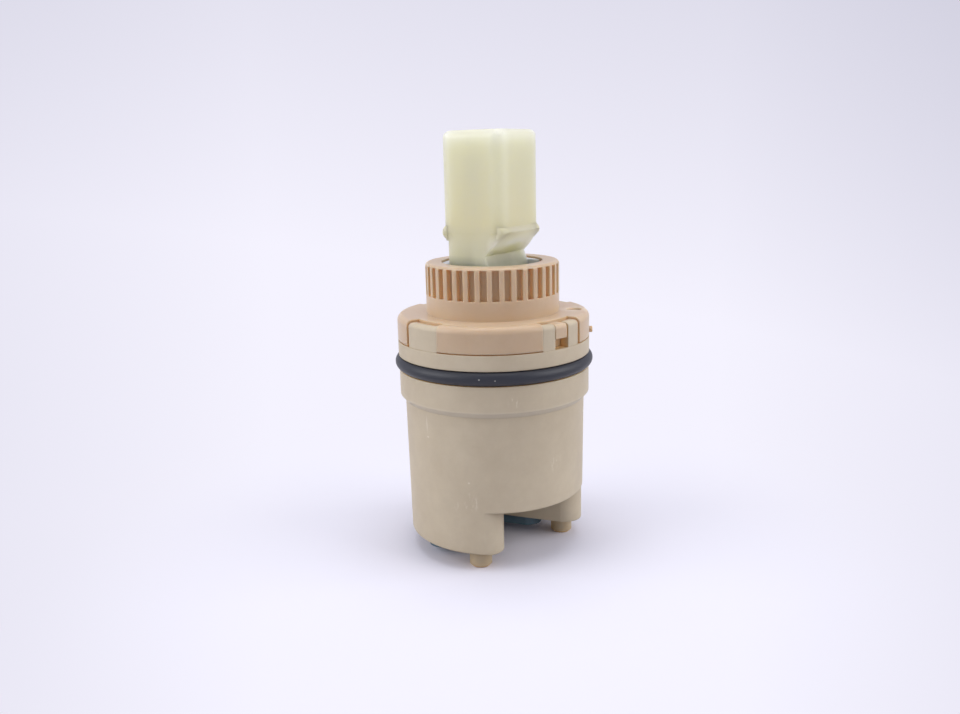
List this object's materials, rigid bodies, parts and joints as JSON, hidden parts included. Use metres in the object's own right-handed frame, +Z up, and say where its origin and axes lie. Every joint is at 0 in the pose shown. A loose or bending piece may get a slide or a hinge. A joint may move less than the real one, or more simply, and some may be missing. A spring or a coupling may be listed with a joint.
{
  "type": "ceramic disc mixer cartridge",
  "caption": "Single-lever mixer tap cartridge: a round plastic housing with locating pins, an O-ring, a splined cap that clips on and a square lever that slides and turns ceramic discs.",
  "frame": {"origin": "on the axis of the cartridge, in the plane of the tips of the locating pins", "axes": "+Z up along the axis towards the lever, -Y towards the outlet notch, +X to the cold side"},
  "size_m": [0.0252, 0.0252, 0.0532],
  "materials": {
    "housing_plastic": "moulded beige acetal, satin",
    "cap_plastic": "moulded peach acetal, satin",
    "ring_rubber": "black nitrile rubber, smooth",
    "seal_silicone": "blue silicone rubber, smooth",
    "disc_ceramic": "lapped alumina, polished",
    "glide_plastic": "white fluoropolymer, smooth",
    "rotor_plastic": "moulded white acetal, satin",
    "pin_steel": "ground stainless steel",
    "lever_plastic": "pale translucent nylon, satin"
  },
  "bodies": {
    "cartridge": {"housing": "housing_plastic", "cap": "cap_plastic", "body_o_ring": "ring_rubber", "hot_inlet_seal": "seal_silicone", "cold_inlet_seal": "seal_silicone", "hot_disc_seal": "seal_silicone", "cold_disc_seal": "seal_silicone", "outlet_disc_seal": "seal_silicone", "fixed_disc": "disc_ceramic", "glide_ring": "glide_plastic"},
    "turret": {"rotor": "rotor_plastic", "lever_pin": "pin_steel"},
    "lever": {"lever": "lever_plastic"},
    "carriage": {"disc_driver": "rotor_plastic", "mixing_seal": "seal_silicone", "moving_disc": "disc_ceramic"}
  },
  "joints": [
    {"name": "temperature_turn", "type": "hinge", "parent": "cartridge", "child": "turret", "pos_m": [0, 0, 0.03175], "axis": [0, 0, 1], "range_deg": [-63.5, 36.5]},
    {"name": "lever_tilt", "type": "hinge", "parent": "turret", "child": "lever", "pos_m": [0, 0, 0.03175], "axis": [0.9724, 0.2334, 0], "range_deg": [0, 20]},
    {"name": "disc_slide", "type": "slide", "parent": "turret", "child": "carriage", "axis": [-0.2334, 0.9724, 0], "range_m": [0, 0.00347]}
  ],
  "couplings": [
    {"joint": "disc_slide", "follows": "lever_tilt", "m_per_rad": 0.0099451}
  ]
}
